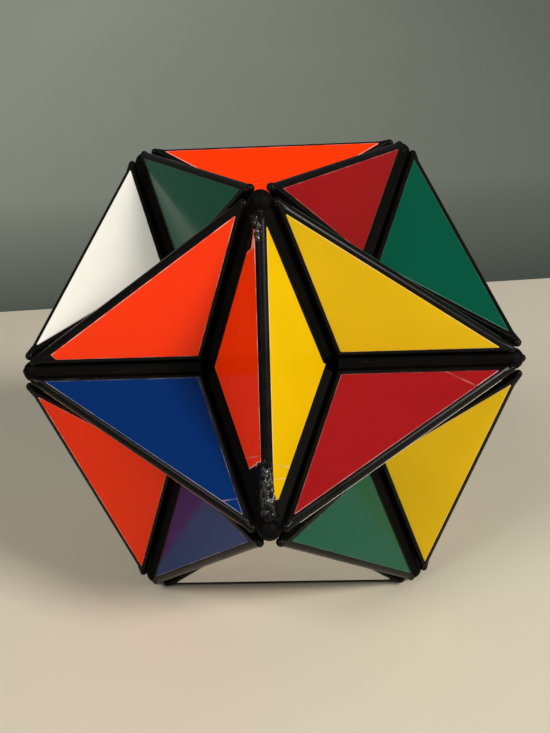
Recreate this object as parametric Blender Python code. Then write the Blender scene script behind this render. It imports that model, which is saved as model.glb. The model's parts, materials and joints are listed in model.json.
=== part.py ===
"""Star puzzle: thirty edge pieces and twelve point caps carried on a ball core.

The puzzle has the form of a great dodecahedron. Its twelve points are the
corners of a regular icosahedron, and every point heads a star of five edge
pieces that turns about the line from the centre to that point. A sloping
groove, the valley, runs down from each point between its edge pieces and ends
in a pit, the deepest spot that can be seen from outside.

Inside, every edge piece has a foot that slides between the core and the
underside of the point caps. Each cap's stem is held on the core by a screw
that pulls against a spring inside the hollow core.

Lengths are in millimetres until the meshes are written, which is in metres.
+Z is a threefold axis: the puzzle lies on three of its edge pieces.
"""

import itertools
import math

import bmesh
import bpy
from mathutils import Matrix, Vector

MM = 0.001

# Form
POINT_RADIUS = 46.5  # centre to the corner that a perfectly sharp point would reach
GAP = 0.3  # between pieces that slide on each other
VALLEY_SETBACK = 1.12  # edge pieces stop this far short of the middle of a valley
TIP_SETBACK = 3.85  # and this far short of the sharp corner, along the edge
RIDGE_ROUNDING = 1.0
RIDGE_STRIP_ANGLES = (-44, -22, 0, 22, 44)  # degrees; the rounding is made of these flat strips
BEAD_RADIUS = 0.65  # round knob on either tip of an edge piece
BAR_WIDTH = 1.5  # flat top of a cap's arm, which shows along the valley
NOSE_RADIUS = 1.7
NOSE_TOP = 44.3
CAP_CREST = 42.95  # the arms are cut off here, inside the nose

# Label seats, one on each outer facet of an edge piece
RIM_AT_RIDGE = 1.75
RIM_AT_VALLEY = 1.75
SEAT_DEPTH = 0.15
SEAT_HEADROOM = 1.0  # the cutter stands this far proud of the facet

# Ball mechanism
LAYER_ANGLE = math.radians(45.0)  # half angle of the cone inside which a star turns
LAYER_SLACK = math.radians(0.4)
CAP_UNDERSIDE_RADIUS = 25.95
FOOT_TOP_RADIUS = 25.6
FOOT_BOTTOM_RADIUS = 20.6
FOOT_GRID = 3
ROOT_RADIUS = 25.3  # the wedge ends here beside its neck
NECK_HALF_LENGTH = 5.4
NECK_HALF_WIDTH = 6.0
RELIEF_DEPTH = 4.0
RELIEF_LENGTH = 12.0
CAP_WAIST = 14.8  # the cap's blank reaches down to here before it is hollowed
STEM_RADIUS = 6.2
STEM_TOP = 27.5
STEM_BOTTOM = 18.9
CORE_RADIUS = 20.3
CORE_BORE_RADIUS = 13.5
CORE_SEAT = 18.6
CORE_SEAT_RADIUS = 6.5
CORE_CUT_TOP = 24.0  # cutters for the core end outside it, here and at the next height
CORE_CUT_BOTTOM = 9.0
LIP_RADIUS = 17.2
LIP_LENGTH = 3.0
CORE_SEGMENTS = 26

# Screws
SCREW_RADIUS = 1.2
SCREW_HOLE_RADIUS = 1.6
PILOT_RADIUS = 1.5
PILOT_TOP = 31.5
SCREW_TOP = 30.5
SCREW_HEAD_RADIUS = 2.6
SCREW_HEAD_BOTTOM = 7.4
SCREW_HEAD_TOP = 9.4

# Form of the great dodecahedron
ROOT5 = math.sqrt(5.0)
PLANE = POINT_RADIUS / ROOT5  # centre to every cut, and to every facet's plane
POINT_ANGLE = math.acos(1.0 / ROOT5)  # between neighbouring points
HALF_ANGLE = POINT_ANGLE / 2.0
SIDE_ANGLE = math.pi / 2.0 - HALF_ANGLE  # from an edge's middle to the points beside it
RIDGE_RADIUS = POINT_RADIUS * math.cos(HALF_ANGLE)
TIP = POINT_RADIUS * math.sin(HALF_ANGLE) - TIP_SETBACK  # the wedge's half length
TOP_POLAR = math.acos(math.sqrt((5.0 + 2.0 * ROOT5) / 15.0))
UPPER_POLAR = math.acos(math.sqrt((5.0 - 2.0 * ROOT5) / 15.0))

# Point name: angle from +Z, and angle round +Z counted from the front (-Y) towards +X
POINTS = {
    "top_front": (TOP_POLAR, 0),
    "top_right": (TOP_POLAR, 120),
    "top_left": (TOP_POLAR, 240),
    "upper_right": (UPPER_POLAR, 60),
    "upper_back": (UPPER_POLAR, 180),
    "upper_left": (UPPER_POLAR, 300),
    "lower_front": (math.pi - UPPER_POLAR, 0),
    "lower_right": (math.pi - UPPER_POLAR, 120),
    "lower_left": (math.pi - UPPER_POLAR, 240),
    "bottom_right": (math.pi - TOP_POLAR, 60),
    "bottom_back": (math.pi - TOP_POLAR, 180),
    "bottom_left": (math.pi - TOP_POLAR, 300),
}
FRONT_HALF_AXIS = "top_front"  # the core is split square to this point's axis


def clear_scene():
    for obj in list(bpy.data.objects):
        bpy.data.objects.remove(obj, do_unlink=True)


def point_direction(name):
    polar, turn = POINTS[name]
    turn = math.radians(turn)
    flat = math.sin(polar)
    return Vector((flat * math.sin(turn), -flat * math.cos(turn), math.cos(polar)))


def plastic(name, colour, roughness, metallic=0.0):
    material = bpy.data.materials.new(name)
    material.use_nodes = True
    shader = material.node_tree.nodes["Principled BSDF"]
    shader.inputs["Base Color"].default_value = (*colour, 1.0)
    shader.inputs["Roughness"].default_value = roughness
    shader.inputs["Metallic"].default_value = metallic
    material.diffuse_color = (*colour, 1.0)
    return material


def object_from(bm, name):
    """Closes a bmesh into an object whose faces look outwards."""
    bmesh.ops.recalc_face_normals(bm, faces=bm.faces)
    mesh = bpy.data.meshes.new(name)
    bm.to_mesh(mesh)
    bm.free()
    obj = bpy.data.objects.new(name, mesh)
    bpy.context.scene.collection.objects.link(obj)
    return obj


def convex_solid(name, planes):
    """The space on the inner side of every plane, each given as (outward normal, distance)."""
    planes = [(normal.normalized(), distance / normal.length) for normal, distance in planes]
    corners = []
    for trio in itertools.combinations(planes, 3):
        normals = Matrix([normal for normal, _ in trio])
        if abs(normals.determinant()) < 1e-6:
            continue
        corner = normals.inverted() @ Vector([distance for _, distance in trio])
        inside = all(corner.dot(normal) < distance + 1e-4 for normal, distance in planes)
        if inside and all((corner - other).length > 1e-3 for other in corners):
            corners.append(corner)
    bm = bmesh.new()
    for corner in corners:
        bm.verts.new(corner)
    bmesh.ops.convex_hull(bm, input=bm.verts)
    bmesh.ops.dissolve_limit(bm, angle_limit=0.001, verts=bm.verts, edges=bm.edges)
    return object_from(bm, name)


def turned_solid(name, profile, segments):
    """Spins a closed outline of (radius, height) round Z. A radius of 0 is a point on the axis."""
    bm = bmesh.new()
    rings = []
    for radius, height in profile:
        if radius == 0:
            rings.append([bm.verts.new((0, 0, height))])
            continue
        ring = []
        for k in range(segments):
            turn = math.tau * k / segments
            ring.append(bm.verts.new((radius * math.cos(turn), radius * math.sin(turn), height)))
        rings.append(ring)
    for low, high in zip(rings, rings[1:] + rings[:1]):
        if len(low) == len(high) == 1:
            continue
        for k in range(segments):
            ends = (low[k % len(low)], low[(k + 1) % len(low)])
            others = (high[(k + 1) % len(high)], high[k % len(high)])
            face = []
            for vert in ends + others:
                if vert not in face:
                    face.append(vert)
            bm.faces.new(face)
    return object_from(bm, name)


def arc_profile(radius, first, last, steps):
    """(radius, height) pairs along a circle about the centre, by degrees from +Z."""
    pairs = []
    for k in range(steps + 1):
        polar = math.radians(first + (last - first) * k / steps)
        pairs.append((radius * math.sin(polar), radius * math.cos(polar)))
    return pairs


def ball_profile(radius, height, steps):
    rise = 180 / steps
    around = arc_profile(radius, rise, 180 - rise, steps - 2)
    return [(0, height + radius)] + [(r, height + h) for r, h in around] + [(0, height - radius)]


def rod_profile(radius, low, high):
    return [(0, low), (radius, low), (radius, high), (0, high)]


def carve(target, cutter, operation):
    """Works a cutter into the target at once and removes it, so no modifier is left over."""
    modifier = target.modifiers.new(operation.lower(), "BOOLEAN")
    modifier.operation = operation
    modifier.solver = "EXACT"
    modifier.object = cutter
    bpy.context.view_layer.update()
    graph = bpy.context.evaluated_depsgraph_get()
    result = bpy.data.meshes.new_from_object(target.evaluated_get(graph))
    target.modifiers.clear()
    target.data = result
    bpy.data.objects.remove(cutter, do_unlink=True)


def place(cutter, matrix):
    cutter.data.transform(matrix)
    return cutter


def angled(angle, side=0.0):
    """A unit vector in an edge's own frame: +X out through its middle, +Y along it."""
    return Vector((math.cos(angle), math.sin(angle) * (side == 0.0), math.sin(angle) * side))


END_LOW = angled(-HALF_ANGLE)
END_HIGH = angled(HALF_ANGLE)
SIDE_LOW = angled(SIDE_ANGLE, -1.0)
SIDE_HIGH = angled(SIDE_ANGLE, 1.0)


def between_facets(radius):
    """How far out a ball or a rounding of that radius lies when it touches both facets."""
    return (PLANE - GAP / 2 - radius) / math.cos(SIDE_ANGLE)


def wedge():
    """The visible part of an edge piece, in the edge's own frame."""
    planes = [
        (Vector((0, 1, 0)), TIP),
        (Vector((0, -1, 0)), TIP),
    ]
    ridge_middle = Vector((between_facets(RIDGE_ROUNDING), 0, 0))
    for degrees in RIDGE_STRIP_ANGLES:
        outward = angled(math.radians(degrees), 1.0)
        planes.append((outward, outward.dot(ridge_middle) + RIDGE_ROUNDING))
    for end in (END_LOW, END_HIGH):
        planes.append((-end, -PLANE - GAP / 2))
    for side in (SIDE_LOW, SIDE_HIGH):
        planes.append((side, PLANE - GAP / 2))
        for end in (END_LOW, END_HIGH):
            planes.append(((side - end).normalized(), -VALLEY_SETBACK))
    return convex_solid("wedge", planes)


def tip_bead(sign):
    """The round knob that ends an edge piece's ridge."""
    bead = turned_solid("bead", ball_profile(BEAD_RADIUS, 0.0, 4), 8)
    return place(bead, Matrix.Translation((between_facets(BEAD_RADIUS), sign * TIP, 0)))


def label_seat(side):
    """The shallow three-cornered recess in the facet that faces along side."""
    low = END_LOW * POINT_RADIUS
    high = END_HIGH * POINT_RADIUS
    pit = (END_LOW + END_HIGH + side).normalized() * PLANE / math.cos(TOP_POLAR)
    planes = [
        (side, PLANE + SEAT_HEADROOM),
        (-side, -(PLANE - GAP / 2 - SEAT_DEPTH)),
    ]
    bounds = (
        (low, high, RIM_AT_RIDGE),
        (low, pit, RIM_AT_VALLEY),
        (high, pit, RIM_AT_VALLEY),
    )
    for first, second, rim in bounds:
        outward = (second - first).cross(side).normalized()
        middle = (low + high + pit) / 3.0
        if outward.dot(middle - first) > 0:
            outward = -outward
        planes.append((outward, outward.dot(first) - rim))
    return convex_solid("label_seat", planes)


def neck_relief(sign):
    """Clears the wedge's root beside the neck, so that other pieces' feet pass under it."""
    planes = [
        (Vector((1, 0, 0)), ROOT_RADIUS),
        (Vector((-1, 0, 0)), -ROOT_RADIUS + RELIEF_DEPTH),
        (Vector((0, 1, 0)), NECK_HALF_WIDTH),
        (Vector((0, -1, 0)), NECK_HALF_WIDTH),
        (Vector((0, 0, -sign)), -NECK_HALF_LENGTH),
        (Vector((0, 0, sign)), NECK_HALF_LENGTH + RELIEF_LENGTH),
    ]
    return convex_solid("neck_relief", planes)


def foot_corner(end, side):
    """Where the cone of one end's star meets the cone of one side's star."""
    near, far = math.cos(LAYER_ANGLE - LAYER_SLACK), math.cos(LAYER_ANGLE + LAYER_SLACK)
    share = 1.0 / (1.0 - end.dot(side) ** 2)
    along = end * (near - far * end.dot(side)) * share + side * (far - near * end.dot(side)) * share
    across = end.cross(side).normalized() * math.sqrt(1.0 - along.length_squared)
    return max((along + across, along - across), key=lambda corner: corner.x)


def arc(axis, first, last, share):
    """The point that far along the way from first to last, round the axis."""
    start = first - axis * first.dot(axis)
    finish = last - axis * last.dot(axis)
    turn = start.angle(finish) * share
    if axis.dot(start.cross(finish)) < 0:
        turn = -turn
    return Matrix.Rotation(turn, 3, axis) @ first


def foot():
    """The block under the wedge that keeps the piece in: a four-sided patch of the shell."""
    corners = {}
    for end, side in itertools.product((END_LOW, END_HIGH), (SIDE_LOW, SIDE_HIGH)):
        # The cone of an end's star bounds the foot on the far side from that end.
        corners[-end.y > 0, side.z > 0] = foot_corner(end, side)
    bm = bmesh.new()
    layers = []
    for radius in (FOOT_BOTTOM_RADIUS, FOOT_TOP_RADIUS):
        grid = []
        for i in range(FOOT_GRID + 1):
            u = i / FOOT_GRID
            row = []
            for j in range(FOOT_GRID + 1):
                v = j / FOOT_GRID
                on_low = arc(SIDE_LOW, corners[False, False], corners[True, False], u)
                on_high = arc(SIDE_HIGH, corners[False, True], corners[True, True], u)
                on_near = arc(END_HIGH, corners[False, False], corners[False, True], v)
                on_far = arc(END_LOW, corners[True, False], corners[True, True], v)
                plain = corners[False, False] * (1 - u) * (1 - v) + corners[True, False] * u * (1 - v)
                plain += corners[False, True] * (1 - u) * v + corners[True, True] * u * v
                blend = on_low * (1 - v) + on_high * v + on_near * (1 - u) + on_far * u - plain
                row.append(bm.verts.new(blend.normalized() * radius))
            grid.append(row)
        layers.append(grid)
    steps = range(FOOT_GRID)
    for grid in layers:
        for i, j in itertools.product(steps, steps):
            bm.faces.new((grid[i][j], grid[i + 1][j], grid[i + 1][j + 1], grid[i][j + 1]))
    low, high = layers
    last = FOOT_GRID
    for k, side in itertools.product(steps, (0, last)):
        for (a, b), (c, d) in (((k, side), (k + 1, side)), ((side, k), (side, k + 1))):
            bm.faces.new((low[a][b], low[c][d], high[c][d], high[a][b]))
    return object_from(bm, "foot")


def edge_piece_mesh():
    piece = wedge()
    for side in (SIDE_LOW, SIDE_HIGH):
        carve(piece, label_seat(side), "DIFFERENCE")
    for sign in (-1, 1):
        carve(piece, neck_relief(sign), "DIFFERENCE")
        carve(piece, tip_bead(sign), "UNION")
    carve(piece, foot(), "UNION")
    return piece


def point_cap():
    """Five-armed cap with its nose along +Z and a neighbouring point over +X."""
    planes = [(Vector((0, 0, -1)), -CAP_WAIST), (Vector((0, 0, 1)), CAP_CREST)]
    for k in range(5):
        turn = Matrix.Rotation(math.tau * k / 5, 3, "Z")
        neighbour = turn @ Vector((math.sin(POINT_ANGLE), 0, math.cos(POINT_ANGLE)))
        planes.append((neighbour, PLANE - GAP / 2))
        other = Matrix.Rotation(math.tau / 5, 3, "Z") @ neighbour
        bar = (neighbour + other).normalized()
        across = (neighbour - other).normalized()
        half_opening = math.asin(bar.dot(neighbour))
        # The bar's top lies where the two sloping sides are one bar width apart.
        sharp = (PLANE - GAP / 2) / math.sin(half_opening)
        drop = BAR_WIDTH / 2 * across.dot(neighbour) / bar.dot(neighbour)
        planes.append((bar, sharp - drop))
    cap = convex_solid("cap", planes)
    nose = ball_profile(NOSE_RADIUS, NOSE_TOP - NOSE_RADIUS, 6)
    carve(cap, turned_solid("nose", nose, 10), "UNION")
    under = [(0, CAP_UNDERSIDE_RADIUS)] + arc_profile(CAP_UNDERSIDE_RADIUS, 8, 48, 5)
    under += [(CAP_UNDERSIDE_RADIUS, 0), (0, 0)]
    carve(cap, turned_solid("underside", under, 24), "DIFFERENCE")
    carve(cap, turned_solid("stem", rod_profile(STEM_RADIUS, STEM_BOTTOM, STEM_TOP), 20), "UNION")
    pilot = rod_profile(PILOT_RADIUS, STEM_BOTTOM - 2, PILOT_TOP)
    carve(cap, turned_solid("pilot", pilot, 10), "DIFFERENCE")
    return cap


def screw():
    profile = [
        (0, SCREW_HEAD_BOTTOM),
        (SCREW_HEAD_RADIUS * 0.8, SCREW_HEAD_BOTTOM),
        (SCREW_HEAD_RADIUS, SCREW_HEAD_BOTTOM + 0.7),
        (SCREW_HEAD_RADIUS, SCREW_HEAD_TOP),
        (SCREW_RADIUS, SCREW_HEAD_TOP),
        (SCREW_RADIUS, SCREW_TOP - 1.5),
        (0, SCREW_TOP),
    ]
    return turned_solid("screw", profile, 10)


def core_half(name, sign):
    """Half of the ball, split square to +Z; the half on +Z carries the locating lip."""
    outer_end = 90 - math.degrees(math.asin(GAP / 2 / CORE_RADIUS))
    profile = [(0, CORE_RADIUS)] + arc_profile(CORE_RADIUS, 12, outer_end, 6)
    if sign > 0:
        profile += [(LIP_RADIUS, GAP / 2), (LIP_RADIUS, -LIP_LENGTH), (CORE_BORE_RADIUS, -LIP_LENGTH)]
        inner_start = 88
    else:
        socket = LIP_LENGTH + GAP
        profile += [(LIP_RADIUS + GAP, GAP / 2), (LIP_RADIUS + GAP, socket)]
        inner_start = math.degrees(math.acos(socket / CORE_BORE_RADIUS))
    profile += arc_profile(CORE_BORE_RADIUS, inner_start, 14, 5) + [(0, CORE_BORE_RADIUS)]
    half = turned_solid(name, profile, CORE_SEGMENTS)
    mirror = Matrix.Diagonal((1, 1, sign, 1))
    if sign < 0:
        half.data.transform(mirror)
        half.data.flip_normals()
    front = point_direction(FRONT_HALF_AXIS)
    half.data.transform(rotation_to(front, point_direction("lower_front")).to_4x4())
    for point in POINTS:
        axis = point_direction(point)
        if axis.dot(front) * sign < 0:
            continue
        turn = axis.to_track_quat("Z", "Y").to_matrix().to_4x4()
        seat = rod_profile(CORE_SEAT_RADIUS, CORE_SEAT, CORE_CUT_TOP)
        carve(half, place(turned_solid("seat", seat, 18), turn), "DIFFERENCE")
        hole = rod_profile(SCREW_HOLE_RADIUS, CORE_CUT_BOTTOM, CORE_CUT_TOP)
        carve(half, place(turned_solid("hole", hole, 10), turn), "DIFFERENCE")
    return half


def rotation_to(axis, towards):
    """Turns +Z onto the axis, and +X to the side that leads towards a second direction."""
    along = (towards - axis * towards.dot(axis)).normalized()
    return Matrix((along, axis.cross(along), axis)).transposed()


def edge_rotation(first, second):
    """Turns the edge's own frame onto the edge between two points."""
    out = (first + second).normalized()
    along = (second - first).normalized()
    return Matrix((out, along, out.cross(along))).transposed()


def finish(name, mesh, rotation, material, smooth_angle=None):
    """Puts one piece in place. Its origin stays at the centre, where all the axes meet."""
    obj = bpy.data.objects.new(name, mesh)
    bpy.context.scene.collection.objects.link(obj)
    obj.matrix_world = rotation.to_4x4()
    mesh.materials.clear()
    mesh.materials.append(material)
    if smooth_angle is not None:
        mesh.set_sharp_from_angle(angle=math.radians(smooth_angle))
    return obj


def metric_mesh(obj):
    """Takes the finished mesh off a working object and brings it to metres."""
    mesh = obj.data
    bpy.data.objects.remove(obj, do_unlink=True)
    mesh.transform(Matrix.Scale(MM, 4))
    for polygon in mesh.polygons:
        polygon.use_smooth = True
    return mesh


def neighbours_of(name):
    own = point_direction(name)
    others = [other for other in POINTS if other != name]
    return [other for other in others if own.angle(point_direction(other)) < POINT_ANGLE + 0.01]


def main():
    clear_scene()
    black = plastic("black_plastic", (0.012, 0.012, 0.013), 0.32)
    core_plastic = plastic("core_plastic", (0.03, 0.03, 0.032), 0.5)
    steel = plastic("screw_steel", (0.55, 0.55, 0.57), 0.35, 1.0)

    edge_mesh = metric_mesh(edge_piece_mesh())
    cap_mesh = metric_mesh(point_cap())
    screw_mesh = metric_mesh(screw())
    front_half = metric_mesh(core_half("core_front", 1))
    rear_half = metric_mesh(core_half("core_rear", -1))

    identity = Matrix.Identity(3)
    finish("core_front_half", front_half, identity, core_plastic, 30)
    finish("core_rear_half", rear_half, identity, core_plastic, 30)
    names = list(POINTS)
    for name in names:
        axis = point_direction(name)
        around = neighbours_of(name)
        rotation = rotation_to(axis, point_direction(around[0]))
        finish("point_cap_" + name, cap_mesh, rotation, black, 30)
        finish("screw_" + name, screw_mesh, rotation, steel, 40)
        for other in around:
            if names.index(other) > names.index(name):
                rotation = edge_rotation(axis, point_direction(other))
                finish(f"edge_{name}_{other}", edge_mesh, rotation, black, 30)


main()
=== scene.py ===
"""Looks of the star puzzle: moulded black pieces, sixty vinyl labels, springs, floor, light and camera.

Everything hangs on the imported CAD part. Its joints give the directions of the twelve points, and every
edge piece is made once in a frame of its own: +X out through the middle of its ridge, +Y along the ridge
and +Z across it. Lengths on the puzzle are in millimetres and are brought to metres when a mesh is
finished. The surroundings are in metres.
"""

import itertools
import json
import math
import random

import bmesh
import bpy
from mathutils import Matrix, Vector, noise


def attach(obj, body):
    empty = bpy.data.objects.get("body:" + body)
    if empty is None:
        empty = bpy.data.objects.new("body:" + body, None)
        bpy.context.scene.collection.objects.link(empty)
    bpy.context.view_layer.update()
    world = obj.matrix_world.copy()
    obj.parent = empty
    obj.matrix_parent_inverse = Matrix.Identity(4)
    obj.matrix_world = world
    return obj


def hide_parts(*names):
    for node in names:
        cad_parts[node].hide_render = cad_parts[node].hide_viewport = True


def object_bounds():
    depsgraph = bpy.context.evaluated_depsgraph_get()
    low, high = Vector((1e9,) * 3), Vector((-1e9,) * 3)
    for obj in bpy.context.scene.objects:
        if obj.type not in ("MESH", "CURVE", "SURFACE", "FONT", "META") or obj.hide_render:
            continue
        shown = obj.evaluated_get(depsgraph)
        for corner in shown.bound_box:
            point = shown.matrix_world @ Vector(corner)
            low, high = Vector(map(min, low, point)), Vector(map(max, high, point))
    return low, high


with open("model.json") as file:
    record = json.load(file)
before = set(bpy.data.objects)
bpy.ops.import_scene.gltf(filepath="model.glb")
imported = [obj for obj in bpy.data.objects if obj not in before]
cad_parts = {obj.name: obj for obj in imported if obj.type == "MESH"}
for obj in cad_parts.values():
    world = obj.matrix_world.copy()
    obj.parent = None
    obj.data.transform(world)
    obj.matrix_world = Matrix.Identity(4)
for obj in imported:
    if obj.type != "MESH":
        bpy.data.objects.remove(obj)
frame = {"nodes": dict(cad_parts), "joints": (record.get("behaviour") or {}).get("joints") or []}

CAD_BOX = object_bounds()

MM = 0.001
ROOT5 = math.sqrt(5.0)

# Form, as in the CAD part
POINT_RADIUS = 46.5  # centre to the corner that a perfectly sharp point would reach
GAP = 0.3  # between pieces that slide on each other
PLANE = POINT_RADIUS / ROOT5  # centre to every cut, and to every facet's plane
SURFACE = PLANE - GAP / 2  # centre to every facet as it is made
HALF_ANGLE = math.acos(1.0 / ROOT5) / 2.0  # from an edge's middle to its points
SIDE_ANGLE = math.pi / 2.0 - HALF_ANGLE  # from an edge's middle to the points beside it
RIDGE_RADIUS = POINT_RADIUS * math.cos(HALF_ANGLE)
HALF_RIDGE = POINT_RADIUS * math.sin(HALF_ANGLE)
PIT_RADIUS = PLANE / math.sqrt((5.0 + 2.0 * ROOT5) / 15.0)  # centre to where three valleys meet
FACET_ANGLE = math.radians(36.0)  # between a facet's ridge and its valleys
FACET_SLOPE = math.tan(FACET_ANGLE)
FACET_COS = math.cos(FACET_ANGLE)
FACET_DEPTH = HALF_RIDGE * FACET_SLOPE  # from the ridge's middle to the pit
VALLEY_SETBACK = 1.12  # edge pieces stop this far short of the middle of a valley
TIP_SETBACK = 3.85  # and this far short of the sharp corner, along the edge
TIP = HALF_RIDGE - TIP_SETBACK
ROOT_RADIUS = 25.3  # the wedge ends here beside its neck
RELIEF_DEPTH = 4.0
RELIEF_LENGTH = 12.0
NECK_HALF_WIDTH = 6.0
NECK_HALF_LENGTH = 5.4
CAP_UNDERSIDE_RADIUS = 25.95
CAP_WAIST = 14.8  # the cap's blank reaches down to here before it is hollowed
STEM_RADIUS = 6.2
STEM_BOTTOM = 18.9
STEM_TOP = 27.5
PILOT_RADIUS = 1.5
PILOT_TOP = 31.5

# Moulding details
RIDGE_ROUNDING = 1.0
RIDGE_STRIPS = 13  # the rounding is made of this many flat strips
EDGE_ROUNDING = 0.22
BEAD_RADIUS = 0.65  # round knob on either tip of an edge piece
BEAD_TAPER = 2.4  # length of the taper behind it
BEAD_SINK = 0.06  # the taper ends this far under the ridge's crest
SEAT_DEPTH = 0.15
RIM_AT_RIDGE = 1.75
RIM_AT_VALLEY = 1.75
BAR_WIDTH = 1.5  # flat top of a cap's arm, which shows along the valley
CAP_ROUNDING = 0.2
NOSE_RADIUS = 1.7
NOSE_TOP = 44.3
CAP_CREST = 42.95  # the arms are cut off here, inside the nose

# Cutters
FOOT_RADIUS = 25.75  # the CAD piece's foot is kept inside this ball
FOOT_BOTTOM = 8.0  # and above here
SEAT_CUTTER_TOP = 1.0  # the label seat's cutter stands this far proud of the facet
PILOT_OVERRUN = 2.0  # the pilot's cutter starts this far below the stem

# Labels
LABEL_THICKNESS = 0.2
LABEL_LIFT = 0.005  # off the seat
LABEL_EDGE = 0.09  # width of the worn strip round the top, drawn pale, partly as a painted highlight
EDGE_DROP = 0.4 * LABEL_EDGE  # how far that strip is worn down
PIT_BLUNT = 0.12  # half width of the corner at the pit
OFF_AT_RIDGE = (0.02, 0.12)  # how far a side lies inside its seat's, from least to most
OFF_AT_VALLEY = (0.0, 0.15)
PRESSED_INSET = 0.95  # from the label's sides to the line pressed into it
PRESSED_WIDTH = 0.14
PRESSED_DEPTH = 0.025
CREASE_WIDTH = 0.12
LABELS_OF_EACH_COLOUR = 10
SHUFFLE_SEED = 12

# Scuffed stretches of ridge on the edge piece between top_front and lower_front: where each starts and ends
# along the ridge, how far it reaches to either side there, and the share of that width left at its other end
SCUFFS = {"near_top": (-20.6, -16.4, -2.7, 0.7, 0.6), "near_bottom": (20.7, 12.0, -2.6, 2.4, 0.45)}
SCUFF_STEP = 0.11  # between the points of its grid
SCUFF_HEIGHT = 0.32  # of its tears
SCUFF_BASE = 0.17  # of the skin they stand on
SCUFF_SINK = 0.12  # how deep its rim is buried
SCUFF_BACK = 0.2  # how deep its back is buried
SCUFF_NOISE = 1.3  # how closely the tears lie
SCUFF_SHIFT = 5.7  # each scuff takes its tears this much further along
TORN_OCTAVES = 4
SPECK_NOISE = 3.1  # specks lie this many times closer than tears
SPECK_SHARE = 0.5
START_RISE = 14.0  # how steeply it rises from where it starts
END_RISE = 4.0  # from its other end
SIDE_RISE = 3.0  # and from its sides

# Springs, by their distance from the puzzle's centre
SPRING_LOW = 9.5
SPRING_HIGH = 13.05
SPRING_RADIUS = 1.95
SPRING_WIRE_RADIUS = 0.22
SPRING_TURNS = 5.0
CLOSED_TURNS = 0.8  # at either end
SPRING_STEPS = 110

# Surroundings, in metres: a floor, and a backdrop whose foot crosses behind the puzzle at a slant
FLOOR_REACH = 3.0
FLOOR_GAP = 0.0002
BACKDROP_DISTANCE = 0.1633
BACKDROP_SLANT = 0.107
BACKDROP_SLOPE = 0.268
FLOOR_COLOUR = (0.755, 0.695, 0.56)
BACKDROP_COLOUR = (0.505, 0.555, 0.468)
# the dark colour that the backdrop's painted shade runs down to
BACKDROP_PAINTED_SHADE = (0.010, 0.022, 0.018)

# Painted shade on the backdrop, as the share of light left in its paint at the start and the end of a
# stretch,
# and that stretch in millimetres: from left to right, and twice from its foot up
PAINTED_LIGHT_ACROSS = (1.0, 0.42, -150.0, 150.0)
PAINTED_LIGHT_AT_FOOT = (0.28, 1.0, 0.0, 85.0)
PAINTED_LIGHT_ABOVE = (0.55, 1.0, 60.0, 370.0)

# Soft square lights: azimuth and elevation in degrees, distance and size in metres, power and colour
LIGHTS = {
    "window": (51, 32, 0.9, 0.2, 7.1, (1.0, 0.96, 0.90)),
    "room": (-35, 42, 1.0, 0.4, 4.1, (1.0, 0.98, 0.95)),
}
SKY_COLOUR = (0.86, 0.87, 0.84, 1.0)
SKY_STRENGTH = 0.16

# Camera: angles in degrees, distance and target in metres
CAMERA_AZIMUTH = 3.05
CAMERA_ELEVATION = 21.13
CAMERA_ROLL = -2.65
CAMERA_DISTANCE = 0.1643
CAMERA_TARGET = (-0.00043, -0.00015, -0.00033)
CAMERA_LENS = 45.95
CAMERA_SENSOR = 36.0
CAMERA_CLIP = 0.01

POINTS = {}
for joint in frame["joints"]:
    if joint["name"].startswith("turn_"):
        POINTS[joint["name"][len("turn_"):]] = Vector(joint["axis"]).normalized()

EDGES = []
for first, second in itertools.combinations(POINTS, 2):
    if f"edge_{first}_{second}" in frame["nodes"]:
        EDGES.append((first, second))


# ---------------------------------------------------------------- material tools

CLOUD_START = 0.3  # cloudy noise changes over this part of its range
CLOUD_END = 0.7
SCRATCH_EDGE = 0.03  # and a scratch's edge takes up this much of it


def node(tree, kind, **settings):
    made = tree.nodes.new(kind)
    for key, value in settings.items():
        setattr(made, key, value)
    return made


def texture_space(tree, scale=1.0, stretch=(1.0, 1.0, 1.0)):
    """Object coordinates, in millimetres, so that marks keep their size on every piece."""
    place = node(tree, "ShaderNodeTexCoord")
    mapping = node(tree, "ShaderNodeMapping")
    mapping.inputs["Scale"].default_value = [scale / MM * part for part in stretch]
    tree.links.new(place.outputs["Object"], mapping.inputs["Vector"])
    return mapping.outputs["Vector"]


def noise_texture(tree, vector, scale, detail=4.0):
    texture = node(tree, "ShaderNodeTexNoise")
    texture.inputs["Scale"].default_value = scale
    texture.inputs["Detail"].default_value = detail
    texture.inputs["Roughness"].default_value = 0.6
    tree.links.new(vector, texture.inputs["Vector"])
    return texture.outputs["Fac"]


def ramp(tree, factor, first, second, start=CLOUD_START, end=CLOUD_END):
    """Runs from the first colour to the second while the factor goes from start to end."""
    made = node(tree, "ShaderNodeValToRGB")
    for element, position, colour in zip(made.color_ramp.elements, (start, end), (first, second)):
        element.position = position
        element.color = (*colour, 1.0)
    tree.links.new(factor, made.inputs["Fac"])
    return made.outputs["Color"]


def spread(tree, factor, low, high, start=0.0, end=1.0):
    """Runs from low to high while the factor goes from start to end, and stays there beyond."""
    made = node(tree, "ShaderNodeMapRange")
    made.inputs["From Min"].default_value = start
    made.inputs["From Max"].default_value = end
    made.inputs["To Min"].default_value = low
    made.inputs["To Max"].default_value = high
    tree.links.new(factor, made.inputs["Value"])
    return made.outputs["Result"]


def combine(tree, operation, first, second):
    made = node(tree, "ShaderNodeMath", operation=operation)
    for slot, value in zip(made.inputs, (first, second)):
        if isinstance(value, (int, float)):
            slot.default_value = value
        else:
            tree.links.new(value, slot)
    return made.outputs["Value"]


def bump(tree, height, distance, strength, below=None):
    made = node(tree, "ShaderNodeBump")
    made.inputs["Strength"].default_value = strength
    made.inputs["Distance"].default_value = distance * MM
    tree.links.new(height, made.inputs["Height"])
    if below is not None:
        tree.links.new(below, made.inputs["Normal"])
    return made.outputs["Normal"]


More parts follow.
